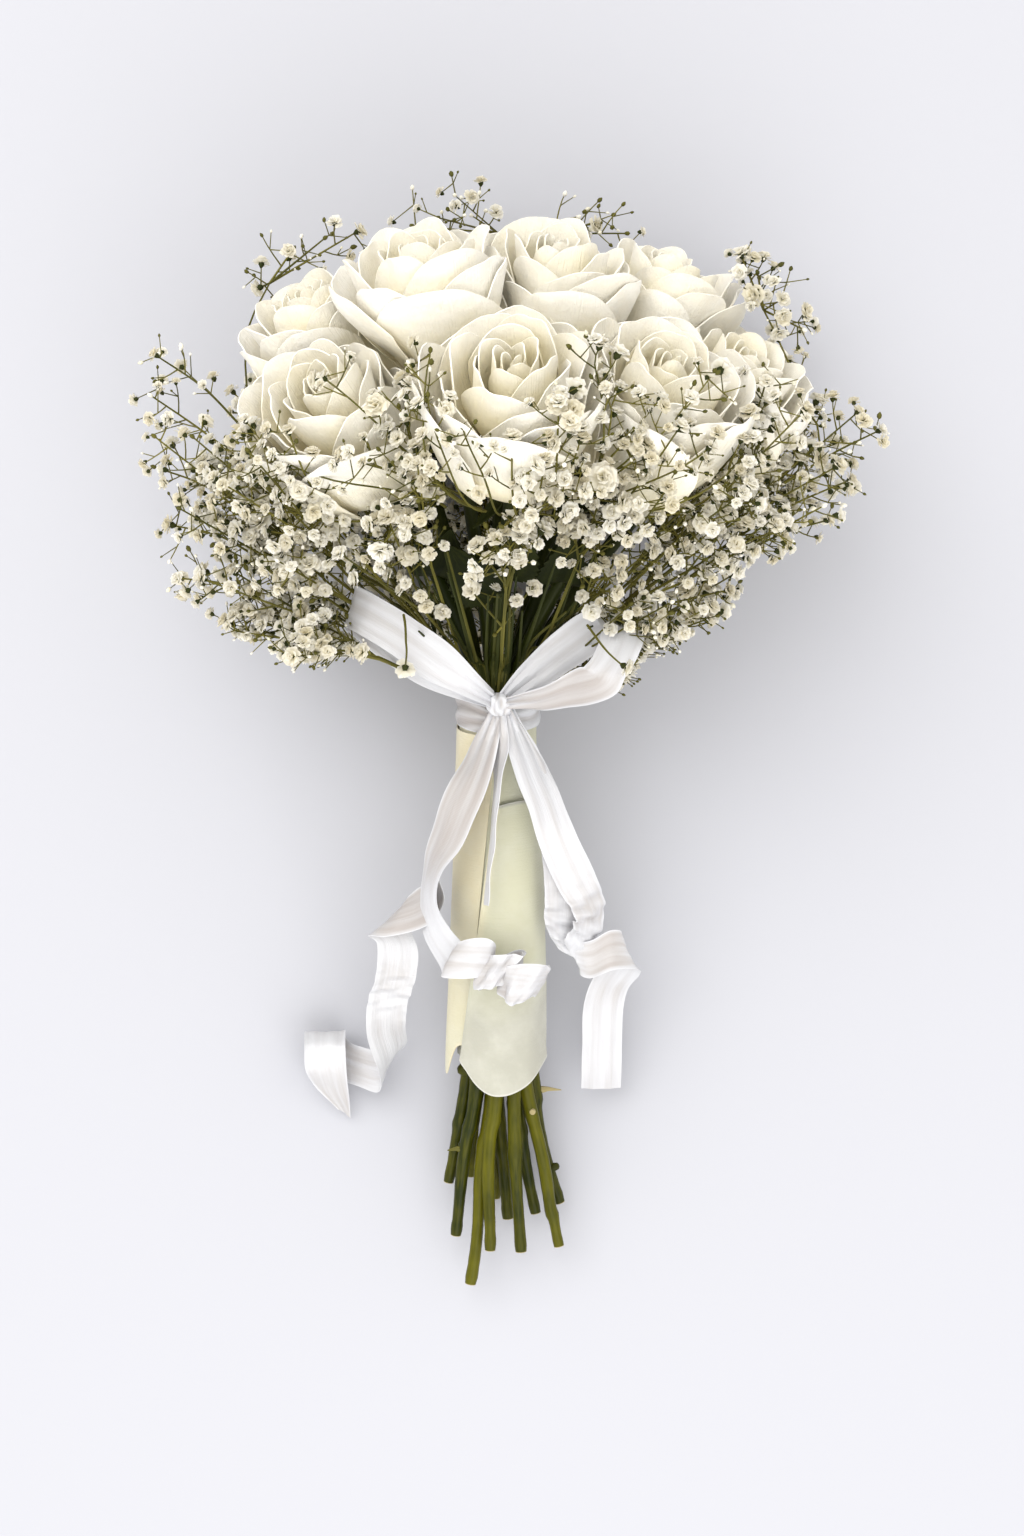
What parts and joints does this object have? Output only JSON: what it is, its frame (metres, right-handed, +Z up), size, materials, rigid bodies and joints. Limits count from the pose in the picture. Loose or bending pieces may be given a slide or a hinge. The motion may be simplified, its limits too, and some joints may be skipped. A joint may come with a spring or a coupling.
{
  "type": "bouquet",
  "caption": "Hand-tied bouquet of white roses and baby's breath with long stems in an ivory fabric wrap, tied with a white satin bow, lying on its back.",
  "frame": {"origin": "on the surface that the bouquet lies on, under the middle of its outline", "axes": "+Y along the stems towards the flowers, +Z up, +X to the right as seen from above"},
  "size_m": [0.2634, 0.4151, 0.1857],
  "materials": {
    "petal": "soft, cream-white petals with a warm yellow depth",
    "stem": "smooth olive-green stems, hips, sepals and leaves",
    "spray": "tiny white pompons on dark olive twigs",
    "wrap": "sheer ivory organza with a fine weave",
    "ribbon": "white satin ribbon with sheer edges"
  },
  "bodies": {
    "root": {"ribbon_band": "ribbon", "ribbon_bow": "ribbon", "rose_a": "petal", "rose_b": "petal", "rose_c": "petal", "rose_d": "petal", "rose_e": "petal", "rose_f": "petal", "rose_g": "petal", "rose_h": "petal", "rose_i": "petal", "rose_j": "petal", "rose_k": "petal", "rose_l": "petal", "spray_lower_1": "spray", "spray_lower_10": "spray", "spray_lower_11": "spray", "spray_lower_12": "spray", "spray_lower_2": "spray", "spray_lower_6": "spray", "spray_lower_7": "spray", "spray_lower_8": "spray", "spray_lower_9": "spray", "spray_upper_1": "spray", "spray_upper_10": "spray", "spray_upper_11": "spray", "spray_upper_12": "spray", "spray_upper_2": "spray", "spray_upper_3": "spray", "spray_upper_4": "spray", "spray_upper_5": "spray", "spray_upper_6": "spray", "spray_upper_7": "spray", "spray_upper_8": "spray", "spray_upper_9": "spray", "stem_a": "stem", "stem_b": "stem", "stem_c": "stem", "stem_d": "stem", "stem_e": "stem", "stem_f": "stem", "stem_g": "stem", "stem_h": "stem", "stem_i": "stem", "stem_j": "stem", "stem_k": "stem", "stem_l": "stem", "wrap_flap": "wrap", "wrap_panel": "wrap", "wrap_sleeve": "wrap"}
  },
  "joints": []
}
